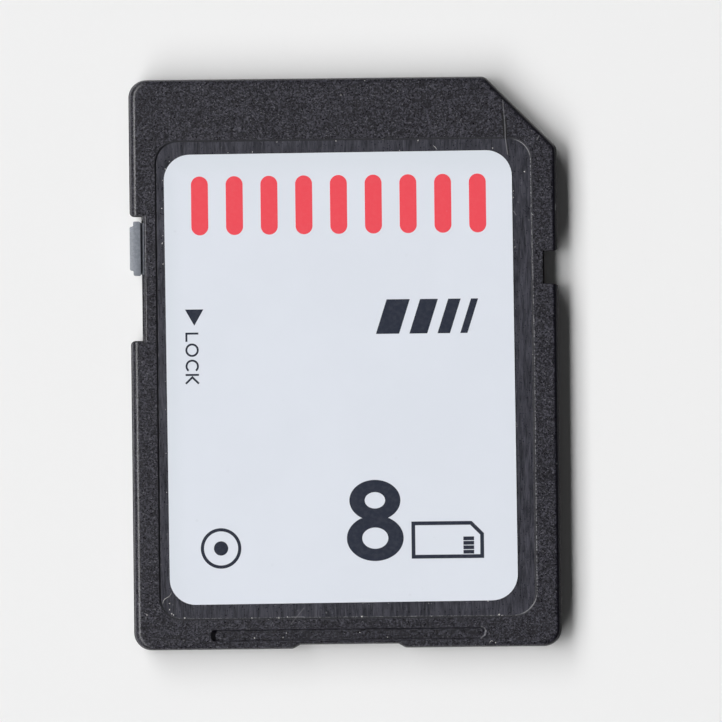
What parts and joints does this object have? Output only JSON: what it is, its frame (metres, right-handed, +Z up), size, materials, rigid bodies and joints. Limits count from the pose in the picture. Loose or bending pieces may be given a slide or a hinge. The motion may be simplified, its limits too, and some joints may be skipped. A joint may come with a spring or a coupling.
{
  "type": "memory card",
  "caption": "Thin flash memory card with a cut corner, stepped guide rails, a sliding write-protect tab, a white label and a row of gold contacts in ribbed windows on its back.",
  "frame": {"origin": "middle of the back face, on the surface that the card lies on", "axes": "+Y along the card towards the contact end, +X to the side of the cut corner, +Z up through the label"},
  "size_m": [0.024, 0.032, 0.0021],
  "materials": {
    "housing": "fine moulded texture",
    "slider": "satin moulded",
    "label": "satin printed film",
    "board": "solder mask",
    "package": "moulded epoxy",
    "leads": "tinned",
    "contact_gold": "gold plated, lightly scuffed",
    "capacitor": "ceramic with tinned ends",
    "resistor": "glazed with tinned ends"
  },
  "bodies": {
    "card": {"front_cover": "housing", "rear_cover": "housing", "front_label": "label", "circuit_board": "board", "memory_chip": "package", "memory_chip_leads": "leads", "controller_chip": "package", "contact_1": "contact_gold", "contact_2": "contact_gold", "contact_3": "contact_gold", "contact_4": "contact_gold", "contact_5": "contact_gold", "contact_6": "contact_gold", "contact_7": "contact_gold", "contact_8": "contact_gold", "contact_9": "contact_gold", "capacitor_1": "capacitor", "capacitor_2": "capacitor", "capacitor_3": "capacitor", "capacitor_4": "capacitor", "resistor_1": "resistor", "resistor_2": "resistor", "resistor_3": "resistor", "resistor_4": "resistor"},
    "slider": {"lock_slider": "slider"}
  },
  "joints": [
    {"name": "lock_slide", "type": "slide", "parent": "card", "child": "slider", "axis": [0, -1, 0], "range_m": [0, 0.00339]}
  ]
}
